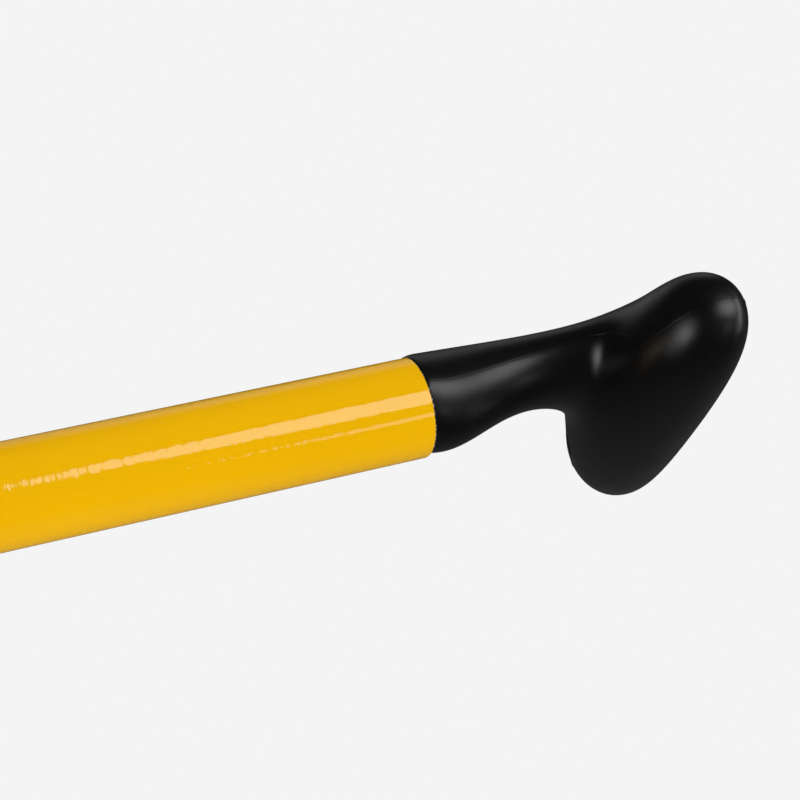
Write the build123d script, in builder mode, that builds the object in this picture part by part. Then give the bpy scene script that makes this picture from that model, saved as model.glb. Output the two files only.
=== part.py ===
"""Single-blade canoe paddle: moulded T-grip, sleeved aluminium shaft and moulded blade.

Frame: +Z runs up the shaft to the grip, X runs along the T-bar and across the blade, and -Y is the
finger side. The origin is on the shaft's axis, level with the underside of the T-bar.
"""

from build123d import *
from math import radians, sin, sqrt
import os

os.makedirs("parts", exist_ok=True)

# ---- driving dimensions, mm ----
overall_length = 1370.0
shaft_od = 28.0
shaft_wall = 1.2
sleeve_wall = 1.0

joint_drop = 59.0  # from the T-bar's underside down to where the grip meets the sleeve
grip_rise = 89.0  # from that joint up to the top of the T-bar
bead_height = 0.4
bead_recess = 0.25

spigot_length = 45.0
spigot_chamfer = 1.5
core_radius = 7.5
core_rise = 40.0  # how far the moulding's core reaches above the joint
core_end_round = 7.0

bar_half_length = 55.0
bar_cap_length = 14.0  # the rounded stretch at each end
bar_end_land = 0.1  # each end's last section stands this far short of the bar's end
bar_forward = 11.8  # the bar stands in front of the shaft's axis
bar_half_depth = 20.0  # front to back, at the middle
bar_half_height = 17.8  # at the middle
bar_taper = 0.2  # share of the section lost by the start of the cap
bar_lift = 4.0  # how far the section's centre rises by the start of the cap
bar_blend = 12.0
blend_reach = 9.0  # the edges between neck and bar are centred within this of the middle
blend_floor = 30.0  # and no nearer to the joint than this
blend_ceiling = 5.0  # and no further above the bar's centre than this

socket_length = 115.0
socket_wall = 4.5
mouth_chamfer = 1.5
blade_length = 545.0  # socket mouth to tip
blade_half_width = 99.0
rim_width = 5.0
rim_half_thick = 2.8
web_half_thick = 1.9
rib_half_thick = 3.6
rib_width = 5.0
shoulder_rise = 40.0  # the shoulders stand this far above the tube's foot
shoulder_inset = 3.0  # and this far inside the socket's outside
shoulder_slope = 0.3
widest_rise = 190.0  # from the tip up to the blade's widest level

plug_length = 30.0
rivet_pitch = 50.0
rivet_inset = 28.0  # first rivet below the socket's mouth
rivet_shank_radius = 2.4
rivet_head_radius = 4.6
rivet_head_height = 1.6
rivet_seat_depth = 0.6  # the flat that the head sits on, cut into the round socket
rivet_seat_radius = 5.0
rivet_bulb_radius = 3.4
rivet_bulb_tip = 2.4  # the bulb's radius at its inner end
rivet_bulb_gap = 0.5  # from the tube's bore at its highest to the bulb
rivet_bulb_height = 2.6

# ---- levels and radii worked out from them ----
joint_z = -joint_drop
top_z = joint_z + grip_rise
tip_z = top_z - overall_length
mouth_z = tip_z + blade_length
tube_foot_z = mouth_z - socket_length
shaft_radius = shaft_od / 2
tube_bore = shaft_radius - shaft_wall
sleeve_radius = shaft_radius + sleeve_wall
socket_radius = shaft_radius + socket_wall
bar_z = top_z - bar_half_height
rivet_seat = socket_radius - rivet_seat_depth
rivet_levels = [mouth_z - rivet_inset, mouth_z - rivet_inset - rivet_pitch]
shoulder_z = tube_foot_z + shoulder_rise
shoulder_half_width = socket_radius - shoulder_inset
widest_z = tip_z + widest_rise


def elliptical_face(plane, centre, half_sizes):
    """One elliptical section of a loft, centred on the plane's own x and y."""
    with BuildSketch(plane) as section:
        with Locations(centre):
            Ellipse(*half_sizes)
    return section.sketch.face()


def finish(builder, name):
    """Label a piece and write its STEP file."""
    builder.part.label = name
    export_step(builder.part, f"parts/{name}.step")


# ---- T-grip: a waisted neck that leans to the palm side, and a bar that stands to the front ----
# each row: height above the joint, half width, half depth, shift towards the palm
neck_sections = [
    (0.0, sleeve_radius, sleeve_radius, 0.0),
    (18.0, 13.1, 13.6, 1.8),
    (36.0, 12.0, 11.4, 3.4),
    (52.0, 14.5, 12.2, 2.2),
    (64.0, 19.5, 12.6, 0.4),
    (80.0, 24.0, 8.5, -5.0),
]
neck_faces = [
    elliptical_face(Plane.XY.offset(joint_z + rise), (0, shift), (half_width, half_depth))
    for rise, half_width, half_depth, shift in neck_sections
]


cap_start = bar_half_length - bar_cap_length


def bar_face(x):
    """The T-bar's section at a distance along it, tapering outwards and rounded at its ends."""
    outward = (abs(x) / cap_start) ** 2
    into_cap = max(abs(x) - cap_start, 0) / bar_cap_length
    share = (1 - bar_taper * outward) * sqrt(1 - into_cap**2)
    centre = (-bar_forward, bar_z + bar_lift * outward)
    return elliptical_face(Plane.YZ.offset(x), centre, (bar_half_depth * share, bar_half_height * share))


# stations close up towards the bar's end, where its section shrinks fastest
inner_stations = [cap_start * share for share in (0.35, 0.7, 0.9)]
cap_stations = [cap_start + bar_cap_length * sin(radians(turn)) for turn in (0, 18, 33, 47, 59, 70)]
end_station = bar_half_length - bar_end_land
half_stations = [*inner_stations, *cap_stations, end_station]
bar_faces = [bar_face(x) for x in [*(-x for x in reversed(half_stations)), 0, *half_stations]]

with BuildPart() as t_grip:
    loft(neck_faces)
    loft(bar_faces)
    middle_edges = [e for e in t_grip.edges() if abs(e.center().X) < blend_reach]
    blend_levels = (joint_z + blend_floor, bar_z + blend_ceiling)
    fillet([e for e in middle_edges if blend_levels[0] < e.center().Z < blend_levels[1]], radius=bar_blend)
    with BuildSketch(Plane.XY.offset(joint_z)):
        Circle(tube_bore)
    extrude(amount=-spigot_length)
    chamfer(t_grip.edges().group_by(Axis.Z)[0], length=spigot_chamfer)
    with BuildSketch(Plane.XY.offset(joint_z - spigot_length)):
        Circle(core_radius)
    extrude(amount=spigot_length + core_rise, mode=Mode.SUBTRACT)
    fillet(t_grip.edges().filter_by(GeomType.CIRCLE).sort_by(Axis.Z)[-1], radius=core_end_round)
finish(t_grip, "t_grip")

# ---- adhesive beads that close the two joints of the sleeve ----
with BuildPart() as grip_bead:
    with BuildSketch(Plane.XY.offset(joint_z - bead_height)):
        Circle(sleeve_radius - bead_recess)
        Circle(shaft_radius, mode=Mode.SUBTRACT)
    extrude(amount=bead_height)
finish(grip_bead, "grip_bead")

with BuildPart() as blade_bead:
    with BuildSketch(Plane.XY.offset(mouth_z)):
        Circle(sleeve_radius - bead_recess)
        Circle(shaft_radius, mode=Mode.SUBTRACT)
    extrude(amount=bead_height)
finish(blade_bead, "blade_bead")

# ---- shaft: aluminium tube, drilled for the rivets, inside a plastic sleeve ----
with BuildPart() as shaft_tube:
    with BuildSketch(Plane.XY.offset(tube_foot_z)):
        Circle(shaft_radius)
        Circle(tube_bore, mode=Mode.SUBTRACT)
    extrude(amount=joint_z - tube_foot_z)
    for level in rivet_levels:
        with BuildSketch(Plane.XZ):
            with Locations((0, level)):
                Circle(rivet_shank_radius)
        extrude(amount=shaft_od, both=True, mode=Mode.SUBTRACT)
finish(shaft_tube, "shaft_tube")

with BuildPart() as shaft_sleeve:
    with BuildSketch(Plane.XY.offset(mouth_z + bead_height)):
        Circle(sleeve_radius)
        Circle(shaft_radius, mode=Mode.SUBTRACT)
    extrude(amount=joint_z - mouth_z - 2 * bead_height)
finish(shaft_sleeve, "shaft_sleeve")

# ---- foam plugs that keep water out of the tube ----
with BuildPart() as foam_plug_upper:
    with BuildSketch(Plane.XY.offset(joint_z - spigot_length - plug_length)):
        Circle(tube_bore)
    extrude(amount=plug_length)
finish(foam_plug_upper, "foam_plug_upper")

with BuildPart() as foam_plug_lower:
    with BuildSketch(Plane.XY.offset(tube_foot_z)):
        Circle(tube_bore)
    extrude(amount=plug_length)
finish(foam_plug_lower, "foam_plug_lower")

# ---- blade: a thin web with a thick rim and ribs, a tapering spine and a socket ----
# each row: level of the section, half width, half thickness
spine_sections = [
    (tube_foot_z, socket_radius, socket_radius),
    (tube_foot_z - 60, 14.5, 13.0),
    (tube_foot_z - 130, 9.5, 8.6),
    (tube_foot_z - 220, 6.5, 5.6),
    (tube_foot_z - 310, 4.5, 3.0),
]
# each row: the two ends of a rib on the +X side, as x and z
rib_ends = [
    ((26, shoulder_z - 75), (66, widest_z - 45)),
    ((18, shoulder_z - 150), (36, widest_z - 90)),
]

spine_faces = [
    elliptical_face(Plane.XY.offset(level), (0, 0), (half_width, half_thick))
    for level, half_width, half_thick in spine_sections
]


def blade_outline(plane, inset):
    """The blade's outline on a plane parallel to its faces, drawn in from the edge by an inset."""
    shoulder = (shoulder_half_width - inset, shoulder_z - inset)
    widest = (blade_half_width - inset, widest_z)
    tip = (0, tip_z + inset)
    with BuildSketch(plane) as outline:
        with BuildLine():
            Spline(shoulder, widest, tip, tangents=[(shoulder_slope, -1), (0, -1), (-1, 0)])
            mirror(about=Plane.YZ)
            Line(shoulder, (-shoulder[0], shoulder[1]))
        make_face()
    return outline.sketch


with BuildPart() as blade:
    extrude(blade_outline(Plane.XZ, 0), amount=rim_half_thick, both=True)
    for side in (1, -1):
        web_face = Plane.XZ.offset(side * web_half_thick)
        extrude(blade_outline(web_face, rim_width), amount=side * rim_half_thick, mode=Mode.SUBTRACT)
    for start, end in rib_ends:
        run = Vector(*end) - Vector(*start)
        centre = (Vector(*end) + Vector(*start)) / 2
        with BuildSketch(Plane.XZ):
            for side in (1, -1):
                with Locations((side * centre.X, centre.Y)):
                    SlotCenterToCenter(run.length, rib_width, rotation=-side * run.get_angle(Vector(1, 0)))
        extrude(amount=rib_half_thick, both=True)
    loft(spine_faces)
    with BuildSketch(Plane.XY.offset(tube_foot_z)):
        Circle(socket_radius)
    extrude(amount=socket_length)
    chamfer(blade.edges().group_by(Axis.Z)[-1], length=mouth_chamfer)
    with BuildSketch(Plane.XY.offset(tube_foot_z)):
        Circle(shaft_radius)
    extrude(amount=socket_length, mode=Mode.SUBTRACT)
    for level in rivet_levels:
        with BuildSketch(Plane.XZ):
            with Locations((0, level)):
                Circle(rivet_shank_radius)
        extrude(amount=shaft_od, both=True, mode=Mode.SUBTRACT)
        for side in (1, -1):
            with BuildSketch(Plane.XZ.offset(side * rivet_seat)):
                with Locations((0, level)):
                    Circle(rivet_seat_radius)
            extrude(amount=side * socket_wall, mode=Mode.SUBTRACT)
finish(blade, "blade")

# ---- blind rivets through the socket and the tube, two on each face ----
bulb_top = tube_bore - rivet_bulb_gap
bulb_foot = bulb_top - rivet_bulb_height
head_top = rivet_seat + rivet_head_height

with BuildPart() as blade_rivets:
    for level in rivet_levels:
        for side in (1, -1):
            with BuildSketch(Plane.YZ):
                with BuildLine():
                    Polyline(
                        (side * head_top, level),
                        (side * bulb_foot, level),
                        (side * bulb_foot, level + rivet_bulb_tip),
                        (side * bulb_top, level + rivet_bulb_radius),
                        (side * bulb_top, level + rivet_shank_radius),
                        (side * rivet_seat, level + rivet_shank_radius),
                        (side * rivet_seat, level + rivet_head_radius),
                    )
                    TangentArc(
                        (side * head_top, level),
                        (side * rivet_seat, level + rivet_head_radius),
                        tangent=(0, 1),
                    )
                make_face()
            revolve(axis=Axis((0, 0, level), (0, 1, 0)))
finish(blade_rivets, "blade_rivets")
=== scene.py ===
"""Looks of the canoe paddle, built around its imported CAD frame.

Frame: +Z runs up the shaft to the grip, X runs along the T-bar, and -Y is the finger side.
Blender lengths are metres. The grip's surface is described in millimetres, with its height
counted from the joint between grip and sleeve.
"""

import bmesh
import bpy
import math
import numpy as np
from mathutils import Matrix, Vector


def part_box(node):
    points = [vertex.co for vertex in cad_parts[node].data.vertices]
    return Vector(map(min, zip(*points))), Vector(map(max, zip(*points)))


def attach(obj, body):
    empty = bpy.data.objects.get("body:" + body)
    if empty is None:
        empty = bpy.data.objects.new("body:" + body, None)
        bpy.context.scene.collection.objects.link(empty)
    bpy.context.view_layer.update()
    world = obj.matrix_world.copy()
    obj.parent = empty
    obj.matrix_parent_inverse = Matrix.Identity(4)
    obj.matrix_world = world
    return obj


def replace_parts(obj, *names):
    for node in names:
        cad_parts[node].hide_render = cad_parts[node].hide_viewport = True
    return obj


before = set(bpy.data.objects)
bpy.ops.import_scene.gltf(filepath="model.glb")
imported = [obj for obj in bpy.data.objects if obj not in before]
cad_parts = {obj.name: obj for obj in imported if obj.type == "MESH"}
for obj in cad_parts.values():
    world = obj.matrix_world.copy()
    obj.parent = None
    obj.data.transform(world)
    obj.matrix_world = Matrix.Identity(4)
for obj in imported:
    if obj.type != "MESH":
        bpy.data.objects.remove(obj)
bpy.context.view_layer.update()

MM = 0.001

# ---- places from the frame ----
joint_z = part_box("grip_bead")[1].z
spigot_foot_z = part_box("t_grip")[0].z
tube_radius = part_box("shaft_tube")[1].x
paddle_foot_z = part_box("blade")[0].z

# ---- camera: where the photograph was taken from ----
LENS = 99.0
SENSOR = 36.0
VIEW_TURN = math.radians(65.85)  # from +Y towards +X
VIEW_RISE = math.radians(21.2)
VIEW_ROLL = math.radians(77.94)
CAMERA_DISTANCE = 0.645
JOINT_RIGHT = 0.00448  # the joint's place in the frame, from the centre
JOINT_UP = -0.00227

view_forward = Vector(
    (
        math.sin(VIEW_TURN) * math.cos(VIEW_RISE),
        math.cos(VIEW_TURN) * math.cos(VIEW_RISE),
        math.sin(VIEW_RISE),
    )
)
level_right = view_forward.cross(Vector((0, 0, 1))).normalized()
view_right = Matrix.Rotation(-VIEW_ROLL, 3, view_forward) @ level_right
view_up = view_right.cross(view_forward)


def in_view(right, up, toward):
    """A direction given as seen from the camera."""
    return right * view_right + up * view_up - toward * view_forward


def add_camera():
    """The scene's camera, which sees the joint where the photograph has it."""
    data = bpy.data.cameras.new("camera")
    data.lens = LENS
    data.sensor_width = SENSOR
    camera = bpy.data.objects.new("camera", data)
    bpy.context.scene.collection.objects.link(camera)
    joint = Vector((0, 0, joint_z))
    place = joint - in_view(JOINT_RIGHT, JOINT_UP, -CAMERA_DISTANCE)
    axes = Matrix((view_right, view_up, -view_forward)).transposed()
    camera.matrix_world = Matrix.Translation(place) @ axes.to_4x4()
    bpy.context.scene.camera = camera


# ---- light ----
PANEL_DISTANCE = 1.2
FILL_DISTANCE = 1.4
FILL_SIDE = 1.5
WORLD_LIGHT = 0.025
BACKGROUND_GREY = 0.905


def add_panel(name, direction, distance, sides, radiance, long_axis, slide=0.0, shape="RECTANGLE"):
    """An area light with its second side along long_axis, slid that way from facing the joint."""
    data = bpy.data.lights.new(name, "AREA")
    data.shape = shape
    data.size, data.size_y = sides
    area = sides[0] * sides[1]
    if shape == "ELLIPSE":
        area *= math.pi / 4
    data.energy = radiance * math.pi * area
    light = bpy.data.objects.new(name, data)
    bpy.context.scene.collection.objects.link(light)
    back = direction.normalized()
    along = (long_axis - back * long_axis.dot(back)).normalized()
    across = along.cross(back)
    axes = Matrix((across, along, back)).transposed()
    place = Vector((0, 0, joint_z)) + back * distance + along * slide
    light.matrix_world = Matrix.Translation(place) @ axes.to_4x4()
    return light


def add_lights():
    """Soft studio light: panels that the gloss reflects, and fills that it doesn't."""
    shaft = Vector((0, 0, 1))
    # two panels alongside the shaft, seen as the bands down the sleeve:
    # direction, sides, radiance and slide
    bands = {
        "key": (in_view(0.27, 0.37, 0.89), (0.74, 1.6), 3.5, 0.9),
        "strip": (in_view(0.407, -0.312, 0.858), (0.19, 0.42), 2.1, 0.53),
    }
    for name, (direction, sides, radiance, slide) in bands.items():
        add_panel(name, direction, PANEL_DISTANCE, sides, radiance, shaft, slide, "ELLIPSE")
    # a tall narrow one beyond the grip, which lines the end of its bar
    add_panel("right", in_view(0.99, 0.2, 0.0), PANEL_DISTANCE, (0.12, 1.0), 7.5, view_up)
    # broad fills that light the paddle evenly and leave no reflection: direction and radiance
    fills = {
        "front_fill": (in_view(-0.1, 0.1, 1.0), 1.18),
        "low_fill": (in_view(0.0, -1.0, 0.1), 2.2),
        "high_fill": (in_view(0.0, 1.0, 0.2), 0.75),
        "back_fill": (in_view(0.0, 0.0, -1.0), 0.9),
    }
    for name, (direction, radiance) in fills.items():
        fill = add_panel(name, direction, FILL_DISTANCE, (FILL_SIDE, FILL_SIDE), radiance, shaft)
        fill.visible_glossy = False
    # an even light straight down, for the floor
    data = bpy.data.lights.new("overhead", "SUN")
    data.energy = 3.0
    data.angle = math.radians(20)
    overhead = bpy.data.objects.new("overhead", data)
    overhead.visible_glossy = False
    bpy.context.scene.collection.objects.link(overhead)


def glow(nodes, links, direction, start, brightness):
    """Light that rises smoothly towards a direction, from that cosine with it on."""
    coords = nodes.new("ShaderNodeTexCoord")
    facing = nodes.new("ShaderNodeVectorMath")
    facing.operation = "DOT_PRODUCT"
    facing.inputs[1].default_value = direction.normalized()
    links.new(coords.outputs["Generated"], facing.inputs[0])
    ramp = nodes.new("ShaderNodeMapRange")
    ramp.interpolation_type = "SMOOTHSTEP"
    ramp.inputs["From Min"].default_value = start
    ramp.inputs["To Max"].default_value = brightness
    links.new(facing.outputs["Value"], ramp.inputs["Value"])
    return ramp.outputs["Result"]


def add_world():
    """Pale grey to the camera. As light it is dim, with soft glows on the left and behind."""
    world = bpy.data.worlds.new("studio")
    bpy.context.scene.world = world
    world.use_nodes = True
    nodes, links = world.node_tree.nodes, world.node_tree.links
    nodes.clear()
    # direction, the cosine where the glow starts, and its brightness
    glows = [
        (in_view(-0.74, -0.2, 0.64), 0.94, 5.0),
        (in_view(-0.45, 0.46, -0.77), 0.93, 0.4),
        (in_view(0.02, 0.74, -0.67), 0.93, 0.35),
        (in_view(0.0, -0.75, -0.66), 0.3, 0.09),
    ]
    strength = nodes.new("ShaderNodeValue")
    strength.outputs[0].default_value = WORLD_LIGHT
    for direction, start, brightness in glows:
        both = nodes.new("ShaderNodeMath")
        both.operation = "ADD"
        links.new(strength.outputs[0], both.inputs[0])
        links.new(glow(nodes, links, direction, start, brightness), both.inputs[1])
        strength = both
    seen = nodes.new("ShaderNodeBackground")
    seen.inputs["Color"].default_value = (*[BACKGROUND_GREY] * 3, 1)
    lit = nodes.new("ShaderNodeBackground")
    lit.inputs["Color"].default_value = (1, 1, 1, 1)
    links.new(strength.outputs[0], lit.inputs["Strength"])
    path = nodes.new("ShaderNodeLightPath")
    mix = nodes.new("ShaderNodeMixShader")
    links.new(path.outputs["Is Camera Ray"], mix.inputs["Fac"])
    links.new(lit.outputs[0], mix.inputs[1])
    links.new(seen.outputs[0], mix.inputs[2])
    out = nodes.new("ShaderNodeOutputWorld")
    links.new(mix.outputs[0], out.inputs["Surface"])


# ---- materials ----
def new_material(name):
    """A material with its Principled shader, and its node tree's nodes and links."""
    material = bpy.data.materials.new(name)
    material.use_nodes = True
    nodes, links = material.node_tree.nodes, material.node_tree.links
    return material, nodes["Principled BSDF"], nodes, links


def noise(nodes, links, scale, detail, stretch=(1, 1, 1)):
    """Object-space noise; its pattern is stretched along each axis by that much."""
    coords = nodes.new("ShaderNodeTexCoord")
    mapping = nodes.new("ShaderNodeMapping")
    mapping.inputs["Scale"].default_value = [1 / s for s in stretch]
    links.new(coords.outputs["Object"], mapping.inputs["Vector"])
    texture = nodes.new("ShaderNodeTexNoise")
    texture.inputs["Scale"].default_value = scale
    texture.inputs["Detail"].default_value = detail
    links.new(mapping.outputs["Vector"], texture.inputs["Vector"])
    return texture.outputs["Fac"]


def spread(nodes, links, value, low, high):
    """Map a noise value to a range."""
    node = nodes.new("ShaderNodeMapRange")
    node.inputs["From Min"].default_value = 0.3
    node.inputs["From Max"].default_value = 0.7
    node.inputs["To Min"].default_value = low
    node.inputs["To Max"].default_value = high
    links.new(value, node.inputs["Value"])
    return node.outputs["Result"]


def bump(nodes, links, shader, height, distance, under=None):
    """Add a bump of that depth in metres to a shader, over an earlier one where given."""
    node = nodes.new("ShaderNodeBump")
    node.inputs["Distance"].default_value = distance
    links.new(height, node.inputs["Height"])
    if under:
        links.new(under.outputs["Normal"], node.inputs["Normal"])
    links.new(node.outputs["Normal"], shader.inputs["Normal"])
    return node


def grip_plastic():
    """Semi-gloss black moulded plastic: faint cloudiness, and a very fine moulded texture."""
    material, shader, nodes, links = new_material("grip_plastic")
    shader.inputs["Base Color"].default_value = (0.0024, 0.0023, 0.0025, 1)
    shader.inputs["IOR"].default_value = 1.5
    cloud = noise(nodes, links, 90, 3)
    links.new(spread(nodes, links, cloud, 0.31, 0.38), shader.inputs["Roughness"])
    wave = bump(nodes, links, shader, noise(nodes, links, 160, 1), 0.00006)
    bump(nodes, links, shader, noise(nodes, links, 2600, 1), 0.000006, under=wave)
    return material


def sleeve_plastic():
    """Very glossy yellow sleeve: low ripples, longer along the shaft than round it."""
    material, shader, nodes, links = new_material("sleeve_plastic")
    shader.inputs["IOR"].default_value = 1.5
    tint = nodes.new("ShaderNodeMix")
    tint.data_type = "RGBA"
    tint.inputs["A"].default_value = (0.83, 0.43, 0.001, 1)
    tint.inputs["B"].default_value = (0.86, 0.46, 0.001, 1)
    links.new(noise(nodes, links, 25, 2), tint.inputs["Factor"])
    links.new(tint.outputs["Result"], shader.inputs["Base Color"])
    shader.inputs["Roughness"].default_value = 0.07
    ripple = noise(nodes, links, 330, 2, stretch=(3, 3, 1))
    bump(nodes, links, shader, ripple, 0.00016)
    return material


def metal(name, colour, roughness, grain):
    """Drawn or pressed aluminium, a little dulled, with fine scratches along the shaft."""
    material, shader, nodes, links = new_material(name)
    shader.inputs["Base Color"].default_value = (*colour, 1)
    shader.inputs["Metallic"].default_value = 0.75
    lines = noise(nodes, links, grain, 3, stretch=(1, 1, 40))
    uneven = spread(nodes, links, lines, roughness * 0.8, roughness * 1.3)
    links.new(uneven, shader.inputs["Roughness"])
    bump(nodes, links, shader, lines, 0.00001)
    return material


def adhesive():
    """Cured black adhesive, uneven, with grey dust specks in it."""
    material, shader, nodes, links = new_material("adhesive")
    specks = noise(nodes, links, 1500, 2)
    ramp = nodes.new("ShaderNodeValToRGB")
    ramp.color_ramp.elements[0].position = 0.5
    ramp.color_ramp.elements[0].color = (0.004, 0.004, 0.004, 1)
    ramp.color_ramp.elements[1].position = 0.6
    ramp.color_ramp.elements[1].color = (0.3, 0.3, 0.31, 1)
    links.new(specks, ramp.inputs["Fac"])
    links.new(ramp.outputs["Color"], shader.inputs["Base Color"])
    shader.inputs["Roughness"].default_value = 0.55
    bump(nodes, links, shader, specks, 0.0001)
    return material


def foam():
    """Closed-cell foam: off-white with small cells."""
    material, shader, nodes, links = new_material("foam")
    shader.inputs["Base Color"].default_value = (0.78, 0.77, 0.72, 1)
    shader.inputs["Roughness"].default_value = 0.9
    cells = nodes.new("ShaderNodeTexVoronoi")
    cells.inputs["Scale"].default_value = 700
    coords = nodes.new("ShaderNodeTexCoord")
    links.new(coords.outputs["Object"], cells.inputs["Vector"])
    bump(nodes, links, shader, cells.outputs["Distance"], 0.0004)
    return material


def blade_plastic():
    """Moulded polypropylene, duller than the grip, with a fine leathery texture."""
    material, shader, nodes, links = new_material("blade_plastic")
    shader.inputs["Base Color"].default_value = (0.012, 0.012, 0.0125, 1)
    cloud = noise(nodes, links, 30, 4)
    links.new(spread(nodes, links, cloud, 0.36, 0.46), shader.inputs["Roughness"])
    bump(nodes, links, shader, noise(nodes, links, 1200, 2), 0.00004)
    return material


def floor_paint():
    """Plain matt grey."""
    material, shader, _, _ = new_material("floor")
    shader.inputs["Base Color"].default_value = (0.57, 0.57, 0.57, 1)
    shader.inputs["Roughness"].default_value = 0.9
    return material


# ---- T-grip ----
# the neck's sections at even heights from the joint up into the bar, mm
NECK_TOP = 72.0
NECK_FOOT = -4.0
NECK_OVERRUN = 2.0  # how far the neck goes on past its top section
NECK_HALF_WIDTH = (14.95, 11.9, 11.55, 15.9, 16.7)
NECK_HALF_DEPTH = (14.35, 13.1, 10.2, 9.55, 5.4)
NECK_SHIFT = (1.25, 1.9, 3.6, 2.5, 5.8)  # towards the palm
# an ellipse's is 2: below it the neck comes to a soft ridge along the mould line
NECK_FINGER_POWER = 1.56
NECK_PALM_POWER = 1.81
NECK_ROUNDING = 12.0
# a cone that keeps the neck's foot within the sleeve's edge
COLLAR_RADIUS = 15.0
COLLAR_SLOPE = 0.3
COLLAR_FOOT = -2.0
COLLAR_TOP = 8.0
COLLAR_BLEND = 0.4
BAR_HALF_LENGTH = 53.7
BAR_HALF_DEPTH = 17.9
BAR_HALF_HEIGHT = 16.0
BAR_FORWARD = 12.75
BAR_RISE = 71.8
BAR_FULLNESS = 0.25  # how much fuller the ends are than an ellipsoid's
BAR_POWER = 2.08
BAR_SWELL = 0.11
BAR_LIFT = 5.45
BAR_SETBACK = 1.9
BLEND = 9.1
TINY = 1e-9  # keeps the slopes finite on an axis


def through_sections(sizes):
    """The polynomial through the neck's sections, of the level from 0 at the joint to 1."""
    return np.polyfit(np.linspace(0, 1, len(sizes)), sizes, len(sizes) - 1)


half_width_curve = through_sections(NECK_HALF_WIDTH)
half_depth_curve = through_sections(NECK_HALF_DEPTH)
shift_curve = through_sections(NECK_SHIFT)


def smooth_lesser(a, b, reach):
    """The lesser of two values, blended where they are close."""
    return 0.5 * (a + b - np.sqrt((a - b) ** 2 + reach**2))


def grip_field(x, y, rise):
    """Roughly the distance in mm from the grip's surface, negative inside."""
    level = np.clip(rise, NECK_FOOT, NECK_TOP + NECK_OVERRUN) / NECK_TOP
    width = np.polyval(half_width_curve, level)
    depth = np.polyval(half_depth_curve, level)
    back = (y - np.polyval(shift_curve, level)) / depth
    depthwise = np.where(back < 0, np.abs(back) ** NECK_FINGER_POWER, np.abs(back) ** NECK_PALM_POWER)
    past_top = np.maximum(rise - NECK_TOP - NECK_OVERRUN, 0) / NECK_ROUNDING
    neck = np.sqrt((x / width) ** 2 + depthwise + past_top**2 + TINY) - 1
    neck *= np.sqrt(width * depth)
    collar = np.hypot(x, y) - COLLAR_RADIUS - COLLAR_SLOPE * np.maximum(rise, COLLAR_FOOT)
    collar /= math.hypot(1, COLLAR_SLOPE)
    collar -= np.maximum(rise - COLLAR_TOP, 0) ** 2
    neck = -smooth_lesser(-neck, -collar, COLLAR_BLEND)
    outward = (x / BAR_HALF_LENGTH) ** 2
    end = (1 - BAR_FULLNESS) * outward + BAR_FULLNESS * outward**3
    swell = 1 + BAR_SWELL * outward
    front = (y + BAR_FORWARD - BAR_SETBACK * outward) / (BAR_HALF_DEPTH * swell)
    up = (rise - BAR_RISE - BAR_LIFT * outward) / (BAR_HALF_HEIGHT * swell)
    around = front**2 + up**2 + TINY
    reach = (end ** (BAR_POWER / 2) + around ** (BAR_POWER / 2)) ** (1 / BAR_POWER)
    bar = (reach - 1) * BAR_HALF_HEIGHT
    return smooth_lesser(neck, bar, BLEND)


def gradient(field, points, step=0.02):
    """The field's slope at each row of points."""
    slopes = []
    for axis in range(3):
        shift = np.zeros(3)
        shift[axis] = step
        slopes.append((field(*(points + shift).T) - field(*(points - shift).T)) / (2 * step))
    return np.stack(slopes, axis=-1)


def settle(field, points, rounds=6):
    """Move points along the field's slope until they lie on its surface."""
    for _ in range(rounds):
        slope = gradient(field, points)
        points = points - slope * (field(*points.T) / (slope**2).sum(-1))[:, None]
    return points


def surface_net(field, low, high, step):
    """Vertices and quads where the field changes sign, on a grid with that step."""
    axes = [np.arange(a, b + step, step) for a, b in zip(low, high)]
    inside = field(*np.meshgrid(*axes, indexing="ij")) < 0
    corners = sum(
        inside[i : i - 1 or None, j : j - 1 or None, k : k - 1 or None].astype(int)
        for i in (0, 1)
        for j in (0, 1)
        for k in (0, 1)
    )
    mixed = (corners > 0) & (corners < 8)
    number = np.full(mixed.shape, -1)
    number[mixed] = np.arange(mixed.sum())
    points = np.argwhere(mixed) * step + np.array(low) + step / 2
    quads = []
    for axis in range(3):
        start = np.moveaxis(inside, axis, 0)
        cell = np.moveaxis(number, axis, 0)
        crossing = start[:-1, 1:-1, 1:-1] != start[1:, 1:-1, 1:-1]
        ring = [cell[:, :-1, :-1], cell[:, 1:, :-1], cell[:, 1:, 1:], cell[:, :-1, 1:]]
        quad = np.stack([r[crossing] for r in ring], axis=-1)
        leaving = start[:-1, 1:-1, 1:-1][crossing]
        quad[~leaving] = quad[~leaving][:, ::-1]
        quads.append(quad)
    return points, np.concatenate(quads)


def relax(points, quads, rounds):
    """Draw each vertex towards the middle of its neighbours."""
    pairs = np.concatenate([quads[:, [i, (i + 1) % 4]] for i in range(4)])
    pairs = np.concatenate([pairs, pairs[:, ::-1]])
    count = np.bincount(pairs[:, 0], minlength=len(points))[:, None]
    for _ in range(rounds):
        total = np.zeros_like(points)
        np.add.at(total, pairs[:, 0], points[pairs[:, 1]])
        points = 0.5 * points + 0.5 * total / count
        points = settle(grip_field, points, rounds=2)
    return points


def new_piece(name, bm, material):
    """A piece of the grip with that mesh."""
    bmesh.ops.recalc_face_normals(bm, faces=bm.faces)
    mesh = bpy.data.meshes.new(name)
    bm.to_mesh(mesh)
    bm.free()
    mesh.shade_smooth()
    mesh.materials.append(material)
    piece = bpy.data.objects.new(name, mesh)
    bpy.context.scene.collection.objects.link(piece)
    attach(piece, "root")
    return piece


# the grid that the skin is found on, mm
GRID_STEP = 1.1
GRID_MARGIN = 3.0
GRID_FOOT = -2.5
GRID_PALM_SIDE = 20.0
RELAX_ROUNDS = 6
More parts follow.
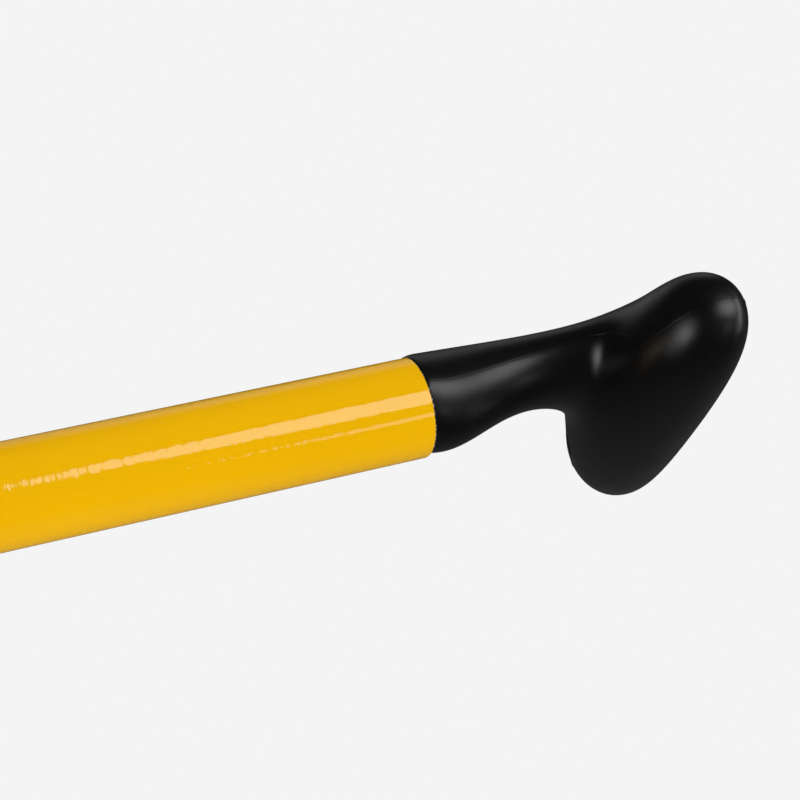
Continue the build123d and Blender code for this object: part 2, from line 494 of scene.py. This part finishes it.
# the spigot and the blind hole that cores it, metres
TUBE_WALL = 0.0012
SPIGOT_CHAMFER = 0.0015
CORE_RADIUS = 0.0075
CORE_RISE = 0.03
CORE_TIP_RISE = 0.038


def make_grip(material):
    """The grip's skin, cut off at the joint and carried on into the spigot inside the tube."""
    side = BAR_HALF_LENGTH + GRID_MARGIN
    low = (-side, -BAR_FORWARD - BAR_HALF_DEPTH - GRID_MARGIN, GRID_FOOT)
    high = (side, GRID_PALM_SIDE, BAR_RISE + BAR_HALF_HEIGHT + 2 * GRID_MARGIN)
    points, quads = surface_net(grip_field, low, high, GRID_STEP)
    points = relax(settle(grip_field, points), quads, RELAX_ROUNDS)
    points[:, 2] += joint_z / MM
    bm = bmesh.new()
    vertices = [bm.verts.new(p * MM) for p in points]
    for quad in quads:
        bm.faces.new([vertices[i] for i in quad])
    everything = bm.verts[:] + bm.edges[:] + bm.faces[:]
    plane = {"plane_co": (0, 0, joint_z), "plane_no": (0, 0, 1)}
    bmesh.ops.bisect_plane(bm, geom=everything, clear_inner=True, dist=1e-6, **plane)
    rim = [e for e in bm.edges if e.is_boundary]
    spigot_radius = tube_radius - TUBE_WALL
    steps = [
        (spigot_radius, joint_z),
        (spigot_radius, spigot_foot_z + SPIGOT_CHAMFER),
        (spigot_radius - SPIGOT_CHAMFER, spigot_foot_z),
        (CORE_RADIUS, spigot_foot_z),
        (CORE_RADIUS, joint_z + CORE_RISE),
        (CORE_RADIUS / 2, joint_z + CORE_TIP_RISE),
    ]
    for radius, z in steps:
        made = bmesh.ops.extrude_edge_only(bm, edges=rim)["geom"]
        rim = [e for e in made if isinstance(e, bmesh.types.BMEdge) and e.is_boundary]
        for v in {v for e in rim for v in e.verts}:
            flat = Vector((v.co.x, v.co.y, 0)).normalized() * radius
            v.co = Vector((flat.x, flat.y, z))
    bmesh.ops.edgeloop_fill(bm, edges=rim)
    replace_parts(new_piece("t_grip_skin", bm, material), "t_grip")


# ---- mould line: the fine ridge where the mould's halves met, round the grip's outline ----
LINE_STEP = 0.8
LINE_HALF_WIDTH = 0.26
LINE_HEIGHT = 0.16
LINE_SUNK = 0.12
LINE_START = 0.4  # above the joint
LINE_FACETS = 6
LINE_WAVINESS = 0.25
LINE_WAVES = (0.31, 0.083)  # radians for each step
# the halves part along the neck's side, cross over under the bar, and go on along the bar's front
PARTING_LEVEL = 36.0
PARTING_NECK = 12.5
PARTING_CORNER = 34.5
PARTING_BAR = -11.5


def parting_depth(x, rise):
    """How far towards the palm the mould's halves part, at that place on the outline."""
    neck = np.polyval(shift_curve, np.minimum(rise, PARTING_LEVEL) / NECK_TOP)
    outward = np.clip((np.abs(x) - PARTING_NECK) / (PARTING_CORNER - PARTING_NECK), 0, 1)
    return np.where(rise < BAR_RISE, neck + (PARTING_BAR - neck) * outward**2, PARTING_BAR)


def outline(x, rise):
    """The grip's field on the surface that the mould's halves part along."""
    return grip_field(x, parting_depth(x, rise), rise)


def outline_slope(point, step=0.05):
    """How steeply the outline's field climbs along x and along the rise."""
    x, rise = point
    across = outline(x + step, rise) - outline(x - step, rise)
    up = outline(x, rise + step) - outline(x, rise - step)
    return np.array([across, up]) / (2 * step)


def onto_outline(point, rounds=4):
    """Move a point along that slope until it lies on the outline."""
    for _ in range(rounds):
        slope = outline_slope(point)
        point = point - slope * outline(*point) / (slope @ slope)
    return point


def mould_line_path():
    """Points from the joint on the +X side, out under the bar, round its end and back over it."""
    point = onto_outline(np.array([COLLAR_RADIUS, LINE_START]))
    path = []
    while point[0] > -LINE_STEP:
        path.append((point[0], parting_depth(*point), point[1]))
        slope = outline_slope(point)
        way = np.array([-slope[1], slope[0]]) / np.linalg.norm(slope)
        point = onto_outline(point + way * LINE_STEP)
    return np.array(path)


def line_height(step):
    """The ridge's height at that step along it, which wavers a little."""
    slow, slower = (math.sin(wave * step) for wave in LINE_WAVES)
    return LINE_HEIGHT * (1 + LINE_WAVINESS * slow * slower)


def make_mould_line(material):
    """The ridge from joint to joint over the whole grip, half round above the skin."""
    half = mould_line_path()
    path = np.concatenate([half[:-1], half[-2::-1] * (-1, 1, 1)])
    normals = gradient(grip_field, path)
    normals /= np.linalg.norm(normals, axis=1)[:, None]
    ways = np.gradient(path, axis=0)
    sides = np.cross(ways, normals)
    sides /= np.linalg.norm(sides, axis=1)[:, None]
    turns = np.linspace(0, math.pi, LINE_FACETS + 1)
    bm = bmesh.new()
    rings = []
    for i, (point, normal, side) in enumerate(zip(path, normals, sides)):
        beside = side * LINE_HALF_WIDTH
        above = normal * line_height(i)
        root = point - normal * LINE_SUNK
        ring = [point + beside * math.cos(t) + above * math.sin(t) for t in turns]
        ring += [root - beside, root + beside]
        rings.append([bm.verts.new(Vector(p * MM) + Vector((0, 0, joint_z))) for p in ring])
    for ring, following in zip(rings, rings[1:]):
        for i in range(len(ring)):
            j = (i + 1) % len(ring)
            bm.faces.new([ring[i], ring[j], following[j], following[i]])
    bm.faces.new(rings[0])
    bm.faces.new(rings[-1][::-1])
    new_piece("t_grip_mould_line", bm, material)


# ---- the CAD nodes that stay ----
def dress_nodes():
    """Give each its material."""
    aluminium = metal("tube_aluminium", (0.78, 0.79, 0.8), 0.3, 900)
    glue = adhesive()
    plug = foam()
    looks = {
        "grip_bead": glue,
        "blade_bead": glue,
        "shaft_tube": aluminium,
        "shaft_sleeve": sleeve_plastic(),
        "foam_plug_upper": plug,
        "foam_plug_lower": plug,
        "blade": blade_plastic(),
        "blade_rivets": metal("rivet_aluminium", (0.72, 0.73, 0.75), 0.35, 1500),
    }
    for node, material in looks.items():
        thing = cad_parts[node]
        thing.data.materials.clear()
        thing.data.materials.append(material)


# ---- floor ----
FLOOR_RADIUS = 6.0
FLOOR_GAP = 0.002  # below the paddle's foot


def add_floor():
    """A round floor just under the upright paddle."""
    mesh = bpy.data.meshes.new("floor")
    bm = bmesh.new()
    bmesh.ops.create_circle(bm, cap_ends=True, radius=FLOOR_RADIUS, segments=96)
    bmesh.ops.translate(bm, verts=bm.verts, vec=(0, 0, paddle_foot_z - FLOOR_GAP))
    bm.to_mesh(mesh)
    bm.free()
    floor = bpy.data.objects.new("floor", mesh)
    bpy.context.scene.collection.objects.link(floor)
    mesh.materials.append(floor_paint())
    floor.visible_glossy = False


add_camera()
add_lights()
add_world()
add_floor()
black = grip_plastic()
make_grip(black)
make_mould_line(black)
dress_nodes()
bpy.context.scene.view_settings.view_transform = "Standard"
